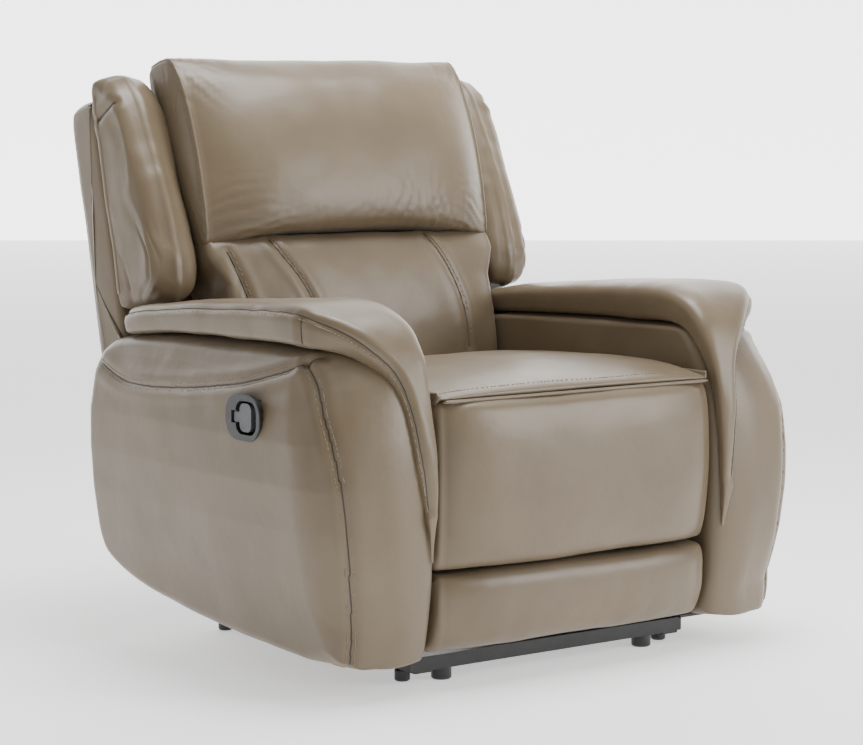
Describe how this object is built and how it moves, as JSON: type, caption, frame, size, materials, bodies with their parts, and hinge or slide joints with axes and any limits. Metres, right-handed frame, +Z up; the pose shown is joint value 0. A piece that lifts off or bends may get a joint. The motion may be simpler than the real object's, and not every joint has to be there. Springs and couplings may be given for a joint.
{
  "type": "recliner armchair",
  "caption": "Leather recliner armchair with pillow-top back, padded arms, a fold-out footrest on steel linkages and a recessed side release handle.",
  "frame": {"origin": "on the floor at the middle of the chair's bounding box", "axes": "+Z up, the sitter faces -Y, +X to the right of someone who faces the chair; the release handle is on the -X arm"},
  "size_m": [1.06, 0.95, 1.0297],
  "materials": {
    "leather": "semi-gloss",
    "steel_black": "satin",
    "steel_zinc": "zinc plated",
    "timber": "sawn",
    "black_plastic": "matte",
    "grey_plastic": "satin",
    "nylon": "matte",
    "felt": "felted",
    "webbing": "woven",
    "dust_cloth": "non-woven"
  },
  "bodies": {
    "base": {"base_side_plate_left": "steel_black", "base_side_plate_right": "steel_black", "front_cross_bar": "steel_black", "rear_cross_tube": "steel_black", "front_feet": "black_plastic", "rail_feet": "black_plastic", "outriggers": "steel_black", "arm_glides": "black_plastic", "arm_spacers": "timber", "arm_bolts": "steel_zinc", "arm_frame_left": "timber", "arm_frame_right": "timber", "arm_upholstery_left": "leather", "arm_upholstery_right": "leather", "arm_pad_left": "leather", "arm_pad_right": "leather", "handle_bezel": "black_plastic", "paddle_pin": "steel_zinc", "release_cable": "black_plastic", "cable_clip": "black_plastic", "trip_pin": "steel_zinc"},
    "paddle": {"release_paddle": "grey_plastic"},
    "trip": {"trip_lever": "steel_black"},
    "seat": {"seat_plate_left": "steel_black", "seat_plate_right": "steel_black", "seat_link_pins": "steel_zinc", "seat_rollers": "nylon", "seat_frame": "timber", "seat_springs": "steel_zinc", "seat_insulator": "felt", "seat_cushion": "leather", "back_hinge_pins": "steel_zinc"},
    "long_link_pair": {"long_links": "steel_black", "long_link_pins": "steel_zinc"},
    "short_link_pair": {"short_links": "steel_black", "short_link_pins": "steel_zinc"},
    "upper_link_pair": {"upper_links": "steel_black"},
    "toe_link_pair": {"toe_links": "steel_black"},
    "footrest": {"footrest_board": "timber", "footrest_bracket_left": "steel_black", "footrest_bracket_right": "steel_black", "bracket_screws": "steel_zinc", "footrest_pins": "steel_zinc", "footrest_pad": "leather", "footrest_toe_pad": "leather"},
    "back": {"back_frame": "timber", "back_webbing": "webbing", "back_bracket_left": "steel_black", "back_bracket_right": "steel_black", "outer_back": "leather", "back_side_left": "leather", "back_side_right": "leather", "back_top_band": "leather", "back_skirt": "dust_cloth", "back_wing_left": "leather", "back_wing_right": "leather", "lumbar_cushion": "leather", "head_cushion": "leather"}
  },
  "joints": [
    {"name": "back_recline", "type": "hinge", "parent": "seat", "child": "back", "pos_m": [0, 0.2, 0.33], "axis": [-1, 0, 0], "range_deg": [0, 30]},
    {"name": "seat_glide", "type": "slide", "parent": "base", "child": "seat", "axis": [0, -1, 0], "range_m": [0, 0.025]},
    {"name": "footrest_lift", "type": "hinge", "parent": "seat", "child": "footrest", "pos_m": [0, -0.462, 0.468], "axis": [-1, 0, 0], "range_deg": [0, 85]},
    {"name": "long_link_swing", "type": "hinge", "parent": "seat", "child": "long_link_pair", "pos_m": [0, -0.262, 0.372], "axis": [-1, 0, 0], "range_deg": [0, 85]},
    {"name": "short_link_swing", "type": "hinge", "parent": "seat", "child": "short_link_pair", "pos_m": [0, -0.206, 0.34512], "axis": [-1, 0, 0], "range_deg": [0, 85]},
    {"name": "upper_link_turn", "type": "hinge", "parent": "long_link_pair", "child": "upper_link_pair", "pos_m": [0, -0.135, 0.179], "axis": [-1, 0, 0], "range_deg": [-85, 0]},
    {"name": "toe_link_turn", "type": "hinge", "parent": "long_link_pair", "child": "toe_link_pair", "pos_m": [0, -0.10477, 0.13305], "axis": [-1, 0, 0], "range_deg": [-85, 0]},
    {"name": "paddle_pull", "type": "hinge", "parent": "base", "child": "paddle", "pos_m": [-0.513, -0.2115, 0.44], "axis": [0, 0, -1], "range_deg": [0, 30], "stiffness_Nm_per_rad": 0.3},
    {"name": "trip_lever_turn", "type": "hinge", "parent": "base", "child": "trip", "pos_m": [-0.2895, -0.215, 0.245], "axis": [-1, 0, 0], "range_deg": [0, 20]}
  ],
  "couplings": [
    {"joint": "seat_glide", "follows": "back_recline", "m_per_rad": 0.04773},
    {"joint": "long_link_swing", "follows": "footrest_lift", "ratio": 1},
    {"joint": "short_link_swing", "follows": "footrest_lift", "ratio": 1},
    {"joint": "upper_link_turn", "follows": "footrest_lift", "ratio": -1},
    {"joint": "toe_link_turn", "follows": "footrest_lift", "ratio": -1},
    {"joint": "trip_lever_turn", "follows": "paddle_pull", "ratio": 0.6667}
  ]
}
